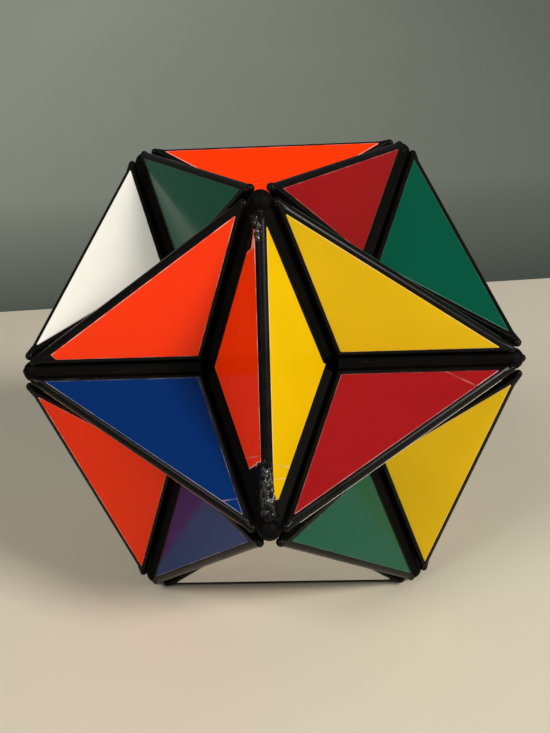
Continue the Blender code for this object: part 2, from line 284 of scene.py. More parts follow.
def new_material(name):
    material = bpy.data.materials.new(name)
    material.use_nodes = True
    tree = material.node_tree
    return material, tree, tree.nodes["Principled BSDF"]


def scratches(tree, scale, cut):
    """Thin marks in two crossing directions: 1 in a scratch, 0 elsewhere."""
    marks = []
    for stretch in ((0.12, 1.0, 1.0), (1.0, 0.1, 0.9)):
        lines = noise_texture(tree, texture_space(tree, scale, stretch), scale=1.0, detail=2.0)
        marks.append(spread(tree, lines, low=0.0, high=1.0, start=cut, end=cut + SCRATCH_EDGE))
    return combine(tree, "MAXIMUM", *marks)


# ---------------------------------------------------------------- materials

DEEP_BLACK = (0.0022, 0.0022, 0.0020)
DUSTY_BLACK = (0.0045, 0.0043, 0.0038)
SCORE_COLOUR = (0.035, 0.033, 0.03)
SCORE_SHOW = 0.25
SCORE_ROUGHNESS = 0.15
SCORE_DEPTH = 0.2
GLOSS_RANGE = 0.08


def black_plastic(name, wear, texture=0.35, shine=0.1, dullness=0.3):
    """Satin black moulding, with a fine grain, cloudy gloss and light scores where it has been handled."""
    material, tree, shader = new_material(name)
    space = texture_space(tree)
    cloud = noise_texture(tree, space, scale=0.16)
    grain = noise_texture(tree, space, scale=2.2, detail=3.0)
    marks = scratches(tree, scale=0.9, cut=0.70)
    worn = node(tree, "ShaderNodeMix", data_type="RGBA")
    shown = combine(tree, "MULTIPLY", marks, SCORE_SHOW * wear)
    tree.links.new(shown, worn.inputs["Factor"])
    tree.links.new(ramp(tree, cloud, DEEP_BLACK, DUSTY_BLACK, end=0.75), worn.inputs["A"])
    worn.inputs["B"].default_value = (*SCORE_COLOUR, 1.0)
    tree.links.new(worn.outputs["Result"], shader.inputs["Base Color"])
    dull = spread(tree, cloud, dullness - GLOSS_RANGE, dullness + GLOSS_RANGE, CLOUD_START, CLOUD_END)
    rough_marks = combine(tree, "MULTIPLY", marks, SCORE_ROUGHNESS)
    tree.links.new(combine(tree, "ADD", dull, rough_marks), shader.inputs["Roughness"])
    fine = bump(tree, grain, distance=0.02, strength=texture)
    scored = bump(tree, marks, distance=0.02, strength=SCORE_DEPTH * wear, below=fine)
    tree.links.new(scored, shader.inputs["Normal"])
    shader.inputs["Specular IOR Level"].default_value = shine
    return material


def vinyl(name, colour, tint):
    """Glossy printed vinyl, a little uneven in colour and rippled by the glue below, with handling marks."""
    material, tree, shader = new_material(name)
    space = texture_space(tree)
    cloud = noise_texture(tree, space, scale=0.07, detail=3.0)
    tree.links.new(ramp(tree, cloud, colour, tint), shader.inputs["Base Color"])
    marks = scratches(tree, scale=0.5, cut=0.72)
    gloss = spread(tree, cloud, low=0.10, high=0.17, start=CLOUD_START, end=CLOUD_END)
    rough_marks = combine(tree, "MULTIPLY", marks, 0.1)
    tree.links.new(combine(tree, "ADD", gloss, rough_marks), shader.inputs["Roughness"])
    ripple = noise_texture(tree, space, scale=0.3, detail=2.0)
    soft = bump(tree, ripple, distance=0.05, strength=0.10)
    scored = bump(tree, marks, distance=0.006, strength=0.15, below=soft)
    tree.links.new(scored, shader.inputs["Normal"])
    shader.inputs["Specular IOR Level"].default_value = 0.16
    return material


def pale_edge_and_highlight(name, colour, paleness):
    """Label edge or fold, paler in places: partly rubbed to the vinyl's body, partly a painted highlight."""
    material, tree, shader = new_material(name)
    pale = [part + paleness * (body - part) for part, body in zip(colour, VINYL_BODY)]
    barely = [0.9 * part + 0.1 * light for part, light in zip(colour, pale)]
    cloud = noise_texture(tree, texture_space(tree), scale=0.3, detail=3.0)
    tree.links.new(ramp(tree, cloud, barely, pale, start=0.42, end=0.62), shader.inputs["Base Color"])
    shader.inputs["Roughness"].default_value = 0.4
    return material


def metal(name, colour, roughness):
    """Plated metal with faint upright streaks."""
    material, tree, shader = new_material(name)
    along = texture_space(tree, stretch=(6.0, 6.0, 0.6))
    streak = noise_texture(tree, along, scale=1.0)
    dark = [0.7 * part for part in colour]
    tree.links.new(ramp(tree, streak, dark, colour), shader.inputs["Base Color"])
    uneven = spread(tree, streak, low=roughness * 0.7, high=roughness * 1.3)
    tree.links.new(uneven, shader.inputs["Roughness"])
    shader.inputs["Metallic"].default_value = 1.0
    return material


def painted(name, colour):
    """Matt paint, very slightly cloudy."""
    material, tree, shader = new_material(name)
    cloud = noise_texture(tree, texture_space(tree), scale=0.012, detail=3.0)
    dark = [0.96 * part for part in colour]
    tree.links.new(ramp(tree, cloud, dark, colour), shader.inputs["Base Color"])
    grain = noise_texture(tree, texture_space(tree), scale=0.9, detail=3.0)
    tree.links.new(bump(tree, grain, distance=0.02, strength=0.1), shader.inputs["Normal"])
    shader.inputs["Roughness"].default_value = 0.55
    return material


def backdrop_painted_shade(name, colour, shade):
    """Matt paint with painted shade: darker to the right and towards the line where it meets the floor."""
    material, tree, shader = new_material(name)
    space = texture_space(tree)
    place = node(tree, "ShaderNodeSeparateXYZ")
    tree.links.new(space, place.inputs["Vector"])
    slanted = combine(tree, "MULTIPLY", place.outputs["X"], BACKDROP_SLANT)
    back = combine(tree, "SUBTRACT", place.outputs["Y"], slanted)
    beyond = combine(tree, "SUBTRACT", back, BACKDROP_DISTANCE / MM)
    cloud = spread(tree, noise_texture(tree, space, scale=0.012, detail=3.0), low=0.96, high=1.04)
    # Painted shade: the colour darkens to the right and towards the backdrop's foot
    across = spread(tree, place.outputs["X"], *PAINTED_LIGHT_ACROSS)
    foot = spread(tree, beyond, *PAINTED_LIGHT_AT_FOOT)
    above = spread(tree, beyond, *PAINTED_LIGHT_ABOVE)
    away = combine(tree, "MULTIPLY", foot, above)
    light = combine(tree, "MULTIPLY", cloud, combine(tree, "MULTIPLY", across, away))
    tree.links.new(ramp(tree, light, shade, colour, start=0.0, end=1.0), shader.inputs["Base Color"])
    shader.inputs["Roughness"].default_value = 0.7
    return material


BLACK = black_plastic("puzzle_black", wear=1.0)
CAP_BLACK = black_plastic("cap_black", wear=0.5, texture=0.3, shine=0.03, dullness=0.5)
SCUFFED_BLACK = black_plastic("puzzle_black_scuffed", wear=1.5, texture=1.0, shine=0.6)
CORE_BLACK = black_plastic("core_black", wear=0.3)
STEEL = metal("zinc_steel", (0.62, 0.62, 0.64), roughness=0.3)
LABEL_COLOURS = {
    "white": (0.80, 0.79, 0.72),
    "yellow": (0.68, 0.43, 0.001),
    "orange": (0.93, 0.036, 0.001),
    "red": (0.275, 0.007, 0.009),
    "green": (0.001, 0.073, 0.040),
    "blue": (0.001, 0.021, 0.120),
}
# How far edges and folds are drawn towards the pale colour: partly worn vinyl, partly a painted highlight
EDGE_PALENESS = {"white": 0.3, "yellow": 0.35, "orange": 0.6, "red": 0.15, "green": 0.06, "blue": 0.22}
FOLD_PALENESS = 0.22
TINT = 1.08
# The pale colour that edges and folds are drawn towards: the vinyl's body and a painted highlight together
VINYL_BODY = (0.92, 0.70, 0.64)

# Each colour's materials, in the order of a label's material slots
ON_TOP, ON_EDGE, ON_FOLD = range(3)
VINYL = {}
for shade, colour in LABEL_COLOURS.items():
    brighter = [min(1.0, TINT * part) for part in colour]
    # Edges and folds drawn pale, partly as a painted highlight
    edge = pale_edge_and_highlight("vinyl_edge_highlight_" + shade, colour, EDGE_PALENESS[shade])
    fold = pale_edge_and_highlight("vinyl_fold_" + shade, colour, FOLD_PALENESS)
    VINYL[shade] = [vinyl("vinyl_" + shade, colour, brighter), edge, fold]


# ---------------------------------------------------------------- mesh tools

SAME_CORNER = 1e-3  # corners nearer than this are one, and planes this near a corner meet there
ON_PLANE = 1e-4  # a corner may lie this far outside a plane
PARALLEL = 1e-6  # planes whose normals have a smaller determinant share no corner
MERGE_DISTANCE = 1e-4
FLAT_ANGLE = 0.004  # faces that meet at less than this are one face


def object_from(bm, name):
    bmesh.ops.recalc_face_normals(bm, faces=bm.faces)
    mesh = bpy.data.meshes.new(name)
    bm.to_mesh(mesh)
    bm.free()
    obj = bpy.data.objects.new(name, mesh)
    bpy.context.scene.collection.objects.link(obj)
    return obj


def plane_corners(planes):
    """Every corner of the space inside all planes, with the normals of the faces that meet there."""
    corners = []
    for trio in itertools.combinations(planes, 3):
        normals = Matrix([normal for normal, _ in trio])
        if abs(normals.determinant()) < PARALLEL:
            continue
        corner = normals.inverted() @ Vector([distance for _, distance in trio])
        if any(corner.dot(normal) > distance + ON_PLANE for normal, distance in planes):
            continue
        if all((corner - other).length > SAME_CORNER for other, _ in corners):
            touching = [normal for normal, distance in planes if corner.dot(normal) > distance - SAME_CORNER]
            corners.append((corner, touching))
    return corners


def convex_solid(name, planes, rounding=0.0, steps=3):
    """The space inside all planes, each given as (outward normal, distance), with its edges rounded.

    It is the hull of small ball patches, one at each corner of the same solid drawn in by the rounding.
    """
    planes = [(normal.normalized(), distance / normal.length - rounding) for normal, distance in planes]
    bm = bmesh.new()
    for corner, touching in plane_corners(planes):
        if rounding == 0.0:
            bm.verts.new(corner)
            continue
        outwards = list(touching)
        for first, second in itertools.combinations(touching, 2):
            outwards += [first.slerp(second, k / steps) for k in range(1, steps)]
        for outward in outwards:
            bm.verts.new(corner + outward * rounding)
    bmesh.ops.remove_doubles(bm, verts=bm.verts, dist=MERGE_DISTANCE)
    hull = bmesh.ops.convex_hull(bm, input=bm.verts)
    inner = [part for part in hull["geom_interior"] if isinstance(part, bmesh.types.BMVert)]
    bmesh.ops.delete(bm, geom=inner)
    bmesh.ops.dissolve_limit(bm, angle_limit=FLAT_ANGLE, verts=bm.verts, edges=bm.edges)
    return object_from(bm, name)


def turned_solid(name, profile, segments):
    """Spins a closed outline of (radius, height) round Z. A radius of 0 is a point on the axis."""
    bm = bmesh.new()
    rings = []
    for radius, height in profile:
        count = segments if radius else 1
        ring = []
        for k in range(count):
            turn = math.tau * k / segments
            ring.append(bm.verts.new((radius * math.cos(turn), radius * math.sin(turn), height)))
        rings.append(ring)
    for low, high in zip(rings, rings[1:] + rings[:1]):
        if len(low) == len(high) == 1:
            continue
        for k in range(segments):
            around = [low[k % len(low)], low[(k + 1) % len(low)]]
            around += [high[(k + 1) % len(high)], high[k % len(high)]]
            bm.faces.new(list(dict.fromkeys(around)))
    return object_from(bm, name)


def apply_modifiers(obj):
    bpy.context.view_layer.update()
    graph = bpy.context.evaluated_depsgraph_get()
    result = bpy.data.meshes.new_from_object(obj.evaluated_get(graph))
    obj.modifiers.clear()
    obj.data = result


def carve(target, cutter, operation):
    modifier = target.modifiers.new(operation.lower(), "BOOLEAN")
    modifier.operation = operation
    modifier.solver = "EXACT"
    modifier.object = cutter
    apply_modifiers(target)
    bpy.data.objects.remove(cutter, do_unlink=True)


def smooth_mesh(obj, angle=40.0):
    """Takes the finished mesh off its working object, in metres and smooth, with flat faces kept flat."""
    for polygon in obj.data.polygons:
        polygon.use_smooth = True
    obj.data.set_sharp_from_angle(angle=math.radians(angle))
    weighted = obj.modifiers.new("flat faces", "WEIGHTED_NORMAL")
    weighted.keep_sharp = True
    apply_modifiers(obj)
    mesh = obj.data
    bpy.data.objects.remove(obj, do_unlink=True)
    mesh.transform(Matrix.Scale(MM, 4))
    return mesh


def put(name, mesh, rotation, materials, body):
    """Makes a piece from a copy of the mesh, turned into its place like the CAD's own meshes."""
    placed = mesh.copy()
    placed.name = name
    placed.transform(rotation.to_4x4())
    obj = bpy.data.objects.new(name, placed)
    bpy.context.scene.collection.objects.link(obj)
    for material in materials:
        placed.materials.append(material)
    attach(obj, body)
    return obj


# ---------------------------------------------------------------- edge pieces


def along_ridge(angle):
    """A direction in the edge's own frame, turned by the angle towards the ridge's +Y end."""
    return Vector((math.cos(angle), math.sin(angle), 0.0))


def across_ridge(angle):
    """A direction in the edge's own frame, turned by the angle towards the facet on the +Z side."""
    return Vector((math.cos(angle), 0.0, math.sin(angle)))


END_LOW = along_ridge(-HALF_ANGLE)
END_HIGH = along_ridge(HALF_ANGLE)
SIDES = {-1: across_ridge(-SIDE_ANGLE), 1: across_ridge(SIDE_ANGLE)}


def facet_frame(sign):
    """Takes (u along the ridge, v down to the pit, w outwards) to the edge's own frame."""
    pit = (END_LOW + END_HIGH + SIDES[sign]).normalized() * PIT_RADIUS
    ridge = Vector((RIDGE_RADIUS, 0.0, 0.0))
    down = (pit - ridge).normalized()
    turn = Matrix((Vector((0.0, 1.0, 0.0)), down, SIDES[sign])).transposed().to_4x4()
    return Matrix.Translation(ridge) @ turn


def prism(name, outline, low, high, matrix):
    """A flat outline, counted round, drawn up from low to high."""
    bm = bmesh.new()
    base = [bm.verts.new(matrix @ Vector((u, v, low))) for u, v in outline]
    top = [bm.verts.new(matrix @ Vector((u, v, high))) for u, v in outline]
    bm.faces.new(base)
    bm.faces.new(reversed(top))
    for k in range(len(outline)):
        after = (k + 1) % len(outline)
        bm.faces.new((base[k], base[after], top[after], top[k]))
    return object_from(bm, name)


def valley_reach(depth, rim):
    """How far from the middle of the ridge the rim beside the valley starts, at that depth."""
    return (FACET_DEPTH - rim / FACET_COS - depth) / FACET_SLOPE


def seat_cutter(sign):
    """Cuts the flat three-cornered seat of a label into a facet."""
    reach = valley_reach(RIM_AT_RIDGE, RIM_AT_VALLEY)
    lowest = FACET_DEPTH - RIM_AT_VALLEY / FACET_COS
    outline = [(-reach, RIM_AT_RIDGE), (reach, RIM_AT_RIDGE), (0.0, lowest)]
    return prism("seat_cutter", outline, -GAP / 2 - SEAT_DEPTH, SEAT_CUTTER_TOP, facet_frame(sign))


def neck_relief(sign):
    """Cuts the bottom of the wedge free on one side of the neck."""
    planes = [
        (Vector((1, 0, 0)), ROOT_RADIUS),
        (Vector((-1, 0, 0)), -ROOT_RADIUS + RELIEF_DEPTH),
        (Vector((0, 1, 0)), NECK_HALF_WIDTH),
        (Vector((0, -1, 0)), NECK_HALF_WIDTH),
        (Vector((0, 0, -sign)), -NECK_HALF_LENGTH),
        (Vector((0, 0, sign)), NECK_HALF_LENGTH + RELIEF_LENGTH),
    ]
    return convex_solid("neck_relief", planes)


def between_facets(radius):
    """How far out a ball or a rounding of that radius lies when it touches both facets."""
    return (SURFACE - radius) / math.cos(SIDE_ANGLE)


def ball_arc(radius, height, first, last, steps):
    """(radius, height) pairs round a ball on the axis, by degrees from its top."""
    pairs = []
    for k in range(steps + 1):
        polar = math.radians(first + (last - first) * k / steps)
        pairs.append((radius * math.sin(polar), height + radius * math.cos(polar)))
    return pairs


def tip_knob(sign):
    """The round knob that ends a ridge, and the taper that leads it out of the ridge."""
    axis = between_facets(BEAD_RADIUS)
    buried = between_facets(RIDGE_ROUNDING) + RIDGE_ROUNDING - axis - BEAD_SINK
    profile = [(0.0, BEAD_RADIUS)] + ball_arc(BEAD_RADIUS, 0.0, first=12, last=96, steps=7)
    profile += [(buried, -BEAD_TAPER), (0.0, -BEAD_TAPER)]
    knob = turned_solid("knob", profile, segments=24)
    turn = Matrix.Rotation(-sign * math.pi / 2, 4, "X")
    knob.data.transform(Matrix.Translation((axis, sign * TIP, 0)) @ turn)
    return knob


def cad_foot():
    """The foot of a CAD edge piece, cut off where the wedge starts and put in the edge's own frame."""
    first, second = EDGES[0]
    turn = edge_rotation(POINTS[first], POINTS[second])
    mesh = frame["nodes"][f"edge_{first}_{second}"].data.copy()
    mesh.transform(Matrix.Scale(1.0 / MM, 4) @ turn.inverted().to_4x4())
    bm = bmesh.new()
    bm.from_mesh(mesh)
    bmesh.ops.remove_doubles(bm, verts=bm.verts, dist=SAME_CORNER)
    foot = object_from(bm, "foot")
    ball = [(0.0, FOOT_RADIUS)] + ball_arc(FOOT_RADIUS, 0.0, first=5, last=55, steps=10)
    ball += [(FOOT_RADIUS, FOOT_BOTTOM), (0.0, FOOT_BOTTOM)]
    keep = turned_solid("ball", ball, segments=48)
    keep.data.transform(Matrix.Rotation(math.pi / 2, 4, "Y"))
    carve(foot, keep, "INTERSECT")
    return foot


def edge_mesh():
    """One edge piece: rounded ridge and tips, two label seats, and the CAD part's own foot."""
    planes = [(Vector((0, 1, 0)), TIP), (Vector((0, -1, 0)), TIP)]
    ridge_middle = Vector((between_facets(RIDGE_ROUNDING), 0, 0))
    for k in range(1, RIDGE_STRIPS + 1):
        outward = across_ridge(SIDE_ANGLE * (2 * k / (RIDGE_STRIPS + 1) - 1))
        planes.append((outward, outward.dot(ridge_middle) + RIDGE_ROUNDING))
    for end in (END_LOW, END_HIGH):
        planes.append((-end, -PLANE - GAP / 2))
    for side in SIDES.values():
        planes.append((side, SURFACE))
        for end in (END_LOW, END_HIGH):
            planes.append(((side - end).normalized(), -VALLEY_SETBACK))
    piece = convex_solid("edge_shell", planes, EDGE_ROUNDING)
    for sign in SIDES:
        carve(piece, tip_knob(sign), "UNION")
        carve(piece, seat_cutter(sign), "DIFFERENCE")
        carve(piece, neck_relief(sign), "DIFFERENCE")
    carve(piece, cad_foot(), "UNION")
    return smooth_mesh(piece)


def edge_rotation(first, second):
    """Turns the edge's own frame so that its ridge runs from the first point to the second."""
    out = (first + second).normalized()
    along = (second - first).normalized()
    return Matrix((out, along, out.cross(along))).transposed()


# ---------------------------------------------------------------- point caps


def cap_mesh():
    """Five-armed cap: flat-topped bars down the valleys, a round nose, a hollowed underside and a stem."""
    neighbours = []
    for k in range(5):
        turn = Matrix.Rotation(math.tau * k / 5, 3, "Z")
        neighbours.append(turn @ Vector((math.sin(2 * HALF_ANGLE), 0, math.cos(2 * HALF_ANGLE))))
    planes = [(Vector((0, 0, -1)), -CAP_WAIST), (Vector((0, 0, 1)), CAP_CREST)]
    for own, other in zip(neighbours, neighbours[1:] + neighbours[:1]):
        planes.append((own, SURFACE))
        bar = (own + other).normalized()
        across = (own - other).normalized()
        sharp = SURFACE / bar.dot(own)
        drop = BAR_WIDTH / 2 * across.dot(own) / bar.dot(own)
        planes.append((bar, sharp - drop))
    cap = convex_solid("cap", planes, CAP_ROUNDING)
    centre = NOSE_TOP - NOSE_RADIUS
    nose = [(0, NOSE_TOP)] + ball_arc(NOSE_RADIUS, centre, first=12, last=168, steps=13)
    nose.append((0, centre - NOSE_RADIUS))
    carve(cap, turned_solid("nose", nose, segments=36), "UNION")
    under = [(0, CAP_UNDERSIDE_RADIUS)] + ball_arc(CAP_UNDERSIDE_RADIUS, 0, first=4, last=48, steps=11)
    under += [(CAP_UNDERSIDE_RADIUS, 0), (0, 0)]
    carve(cap, turned_solid("underside", under, segments=60), "DIFFERENCE")
    stem = [(0, STEM_BOTTOM), (STEM_RADIUS, STEM_BOTTOM), (STEM_RADIUS, STEM_TOP), (0, STEM_TOP)]
    carve(cap, turned_solid("stem", stem, segments=40), "UNION")
    low = STEM_BOTTOM - PILOT_OVERRUN
    pilot = [(0, low), (PILOT_RADIUS, low), (PILOT_RADIUS, PILOT_TOP), (0, PILOT_TOP)]
    carve(cap, turned_solid("pilot", pilot, segments=16), "DIFFERENCE")
    return smooth_mesh(cap)


def cap_rotation(name):
    """Turns the cap's nose onto its point, with one flat side towards a neighbouring point."""
    axis = POINTS[name]
    near = min((other for other in POINTS if other != name), key=lambda other: axis.angle(POINTS[other]))
    along = (POINTS[near] - axis * POINTS[near].dot(axis)).normalized()
    return Matrix((along, axis.cross(along), axis)).transposed()


# ---------------------------------------------------------------- label colours

# The facets that can be seen from the front: the edge piece's two points, and the point the facet looks at.
SEEN = {
    ("top_front", "upper_left", "lower_front"): "orange",
    ("lower_front", "upper_left", "top_front"): "blue",
    ("top_front", "lower_front", "upper_left"): "orange",
    ("top_front", "lower_front", "upper_right"): "yellow",
    ("top_front", "upper_right", "lower_front"): "yellow",
    ("lower_front", "upper_right", "top_front"): "red",
    ("top_left", "top_right", "top_front"): "orange",
    ("top_left", "upper_left", "top_front"): "white",
    ("top_front", "top_left", "upper_left"): "green",
    ("top_front", "top_right", "upper_right"): "red",
    ("top_right", "upper_right", "top_front"): "green",
    ("upper_left", "bottom_left", "lower_front"): "orange",
    ("lower_front", "bottom_left", "upper_left"): "blue",
    ("upper_right", "bottom_right", "lower_front"): "yellow",
    ("lower_front", "bottom_right", "upper_right"): "green",
    ("bottom_left", "bottom_right", "lower_front"): "white",
}


def facet_key(first, second, side):
    """The same key whichever of the edge's two points comes first."""
    return frozenset((first, second)), side


def faced_point(rotation, sign):
    """The point that a facet of an edge piece looks at."""
    outward = rotation @ SIDES[sign]
    return min(POINTS, key=lambda name: outward.angle(POINTS[name]))


def all_facets():
    """Every facet as (its edge's two points, its sign, the point it looks at)."""
    facets = []
    for first, second in EDGES:
        rotation = edge_rotation(POINTS[first], POINTS[second])
        for sign in SIDES:
            facets.append((first, second, sign, faced_point(rotation, sign)))
    return facets


def choose_colours(facets):
    """The seen labels keep their colours, and the rest are shuffled over the hidden facets."""
    chosen = {facet_key(*facet): colour for facet, colour in SEEN.items()}
    stock = []
    for colour in LABEL_COLOURS:
        stock += [colour] * (LABELS_OF_EACH_COLOUR - list(SEEN.values()).count(colour))
    random.Random(SHUFFLE_SEED).shuffle(stock)
    colours = {}
    for first, second, sign, side in facets:
        key = facet_key(first, second, side)
        colours[first, second, sign] = chosen[key] if key in chosen else stock.pop()
    return colours


# ---------------------------------------------------------------- label shapes

# The two ends of a label: how far it is cut short of the sharp tip, how the cut leans, how ragged it is, and
# how long a stretch of the tip is torn down to a narrow, rubbed strip.
PLAIN_END = (0.2, 0.0, 0.0, 0.0)
BLUNT_END = (1.5, 0.0, 0.0, 0.0)
RAGGED_END = (1.5, 0.0, 0.04, 0.0)
TORN_END = (6.0, 0.40, 0.22, 0.0)
STRIP_END = (0.3, 0.0, 0.0, 2.5)
PLAIN_ENDS = (PLAIN_END, PLAIN_END)
CUT_ENDS = {
    ("top_front", "lower_front", "upper_left"): (STRIP_END, TORN_END),
    ("top_front", "lower_front", "upper_right"): (PLAIN_END, RAGGED_END),
    ("top_front", "upper_left", "lower_front"): (PLAIN_END, BLUNT_END),
}
TORN_STEPS = 9
STRIP_SHARE = 0.55
STRIP_STEP = 0.3

# Labels stuck on nearer a valley than their seat: how much at either end.
OFF_SEAT = {("top_front", "lower_front", "upper_right"): (0.0, 0.5)}

# The label with a line pressed in along its sides, as a frame.
PRESSED_LABEL = ("top_left", "upper_left", "top_front")

# Creases across a label: how far along the ridge from its middle, how the fold leans, how high it stands.
CREASES = {
    ("top_front", "lower_front", "upper_left"): [
        (-16.1, 0.3, 0.06),
        (-17.4, -0.4, 0.06),
        (12.2, 0.15, 0.05),
    ],
    ("top_front", "lower_front", "upper_right"): [(13.4, 0.2, 0.03), (15.4, 0.1, 0.02)],
    ("upper_left", "lower_front", "top_front"): [(15.2, 0.9, 0.06)],
    ("upper_right", "lower_front", "top_front"): [(-14.2, 0.4, 0.04)],
}


def label_sides(key, rng):
    """A label's three sides as (inward direction, distance from mid ridge), a little off its seat's."""
    ridge = RIM_AT_RIDGE + rng.uniform(*OFF_AT_RIDGE)
    sides = [(Vector((0.0, 1.0, 0.0)), ridge)]
    for direction, nearer in zip((-1, 1), OFF_SEAT.get(key, (0.0, 0.0))):
        rim = RIM_AT_VALLEY + rng.uniform(*OFF_AT_VALLEY) - nearer
        inward = Vector((-direction * FACET_SLOPE, -1.0, 0.0)) * FACET_COS
        sides.append((inward, rim - FACET_DEPTH * FACET_COS))
    return sides


def label_end(direction, ridge, lowest, end, rng):
    """The corners at one end of a label, from its ridge side round to its slightly blunt pit corner."""
    shortened, lean, ragged, strip = end
    reach = (lowest - ridge) / FACET_SLOPE - shortened
    depth = ridge + shortened * FACET_SLOPE / (1.0 + lean * FACET_SLOPE)
    steps = TORN_STEPS if ragged else 1
    corners = []
    for k in range(steps + 1):
        down = ridge + (depth - ridge) * k / steps
        jag = ragged * rng.uniform(-1.0, 1.0) if 0 < k < steps else 0.0
        corners.append((direction * (reach + lean * (down - ridge) + jag), down))
    if strip:
        narrow = ridge + STRIP_SHARE * (shortened + strip) * FACET_SLOPE
        corners.append((direction * (reach - strip), narrow))
        root = strip + STRIP_STEP
        corners.append((direction * (reach - root), ridge + (shortened + root) * FACET_SLOPE))
    corners.append((direction * PIT_BLUNT, lowest - PIT_BLUNT * FACET_SLOPE))
    return corners


def label_outline(key, sides, rng):
    """The label's corners counted round, one end after the other."""
    ridge = sides[0][1]
    outline = []
    for direction, (_, offset), end in zip((-1, 1), sides[1:], CUT_ENDS.get(key, PLAIN_ENDS)):
        corners = label_end(direction, ridge, -offset / FACET_COS, end, rng)
        outline += corners if direction < 0 else corners[::-1]
    return outline


def label_folds(key, ridge):
    """A label's creases as (direction across the fold, how far along it the fold lies, height)."""
    folds = []
    for along, lean, stands in CREASES.get(key, []):
        across = Vector((1.0, -lean, 0.0)).normalized()
        folds.append((across, across.dot(Vector((along, ridge, 0.0))), stands))
    return folds


def cut_relief_lines(bm, sides, pressed, folds):
    """Cuts a flat sheet along the start, the middle and the end of every pressed line and fold."""
    lines = [(inward, offset + PRESSED_INSET, PRESSED_WIDTH) for inward, offset in sides if pressed]
    lines += [(across, place, CREASE_WIDTH) for across, place, _ in folds]
    for across, place, width in lines:
        for step in (-width, 0.0, width):
            everything = bm.verts[:] + bm.edges[:] + bm.faces[:]
            bmesh.ops.bisect_plane(bm, geom=everything, plane_co=across * (place + step), plane_no=across)


def sheet_height(spot, sides, pressed, folds):
    """How far the vinyl stands off its flat: a line pressed in along the sides, and folds that stand up."""
    inset = min(inward.dot(spot) - offset for inward, offset in sides)
    height = -pressed * max(0.0, 1.0 - abs(inset - PRESSED_INSET) / PRESSED_WIDTH)
    for across, place, stands in folds:
        height += stands * max(0.0, 1.0 - abs(across.dot(spot) - place) / CREASE_WIDTH)
    return height


def label_mesh(name, key, sign, seed):
    """A thin vinyl sheet with a worn pale edge, partly a painted highlight, and any pressed line or creases.
    """
    rng = random.Random(seed)
    sides = label_sides(key, rng)
    ridge = sides[0][1]
    folds = label_folds(key, ridge)
    pressed = PRESSED_DEPTH if key == PRESSED_LABEL else 0.0
    bm = bmesh.new()
    bm.faces.new([bm.verts.new((u, v, 0.0)) for u, v in label_outline(key, sides, rng)])
    bmesh.ops.triangulate(bm, faces=bm.faces)
    cut_relief_lines(bm, sides, pressed, folds)

    raised = bmesh.ops.extrude_face_region(bm, geom=bm.faces[:], use_keep_orig=True)["geom"]
    top_faces = [part for part in raised if isinstance(part, bmesh.types.BMFace)]
    for part in raised:
        if isinstance(part, bmesh.types.BMVert):
            part.co.z = LABEL_THICKNESS
    bmesh.ops.inset_region(bm, faces=top_faces, thickness=LABEL_EDGE, use_even_offset=True)

    top = set(top_faces)
    strip = CUT_ENDS.get(key, PLAIN_ENDS)[0][3]
    rubbed = strip - valley_reach(ridge, RIM_AT_VALLEY) if strip else -HALF_RIDGE
    for face in bm.faces:
        middle = face.calc_center_median()
        folded = any(abs(across.dot(middle) - place) < CREASE_WIDTH for across, place, _ in folds)
        face.material_index = ON_EDGE
        if face in top and middle.x > rubbed:
            face.material_index = ON_FOLD if folded else ON_TOP
    for vert in bm.verts:
        if vert.co.z > LABEL_THICKNESS / 2:
            spot = Vector((vert.co.x, vert.co.y, 0.0))
            worn = 0.0 if any(face in top for face in vert.link_faces) else EDGE_DROP
            vert.co.z += sheet_height(spot, sides, pressed, folds) - worn
    seat = Matrix.Translation((0.0, 0.0, LABEL_LIFT - GAP / 2 - SEAT_DEPTH))
    bm.transform(facet_frame(sign) @ seat)
    return smooth_mesh(object_from(bm, name), angle=20.0)


# ---------------------------------------------------------------- scuffed ridges


def on_ridge(along, round_it, lift):
    """The spot that far round the ridge's crest, in millimetres of surface, lifted off the surface."""
    quarter = RIDGE_ROUNDING * SIDE_ANGLE
    angle = max(-SIDE_ANGLE, min(SIDE_ANGLE, round_it / RIDGE_ROUNDING))
    outward = across_ridge(angle)
    middle = Vector((between_facets(RIDGE_ROUNDING), along, 0.0))
    beyond = max(0.0, abs(round_it) - quarter) * math.copysign(1.0, round_it)
    down = Vector((-math.sin(angle), 0.0, math.cos(angle)))
    return middle + outward * (RIDGE_ROUNDING + lift) + down * beyond


def scuff_lift(along, round_it, share, over, shift):
    """How far torn skin stands off the ridge, sunk at the patch's rim.

    The first share runs along the patch and the second over its width.
    """
    spot = Vector((along * SCUFF_NOISE, round_it * SCUFF_NOISE, 0.0)) + shift
    lengthwise = min(1.0, START_RISE * share, END_RISE * (1.0 - share))
    crosswise = min(1.0, SIDE_RISE * over, SIDE_RISE * (1.0 - over))
    rough = noise.fractal(spot, 1.0, 2.0, TORN_OCTAVES) + SPECK_SHARE * abs(noise.noise(spot * SPECK_NOISE))
    lift = -SCUFF_SINK + lengthwise * crosswise * (SCUFF_BASE + SCUFF_HEIGHT * rough)
    return max(-SCUFF_SINK, lift)


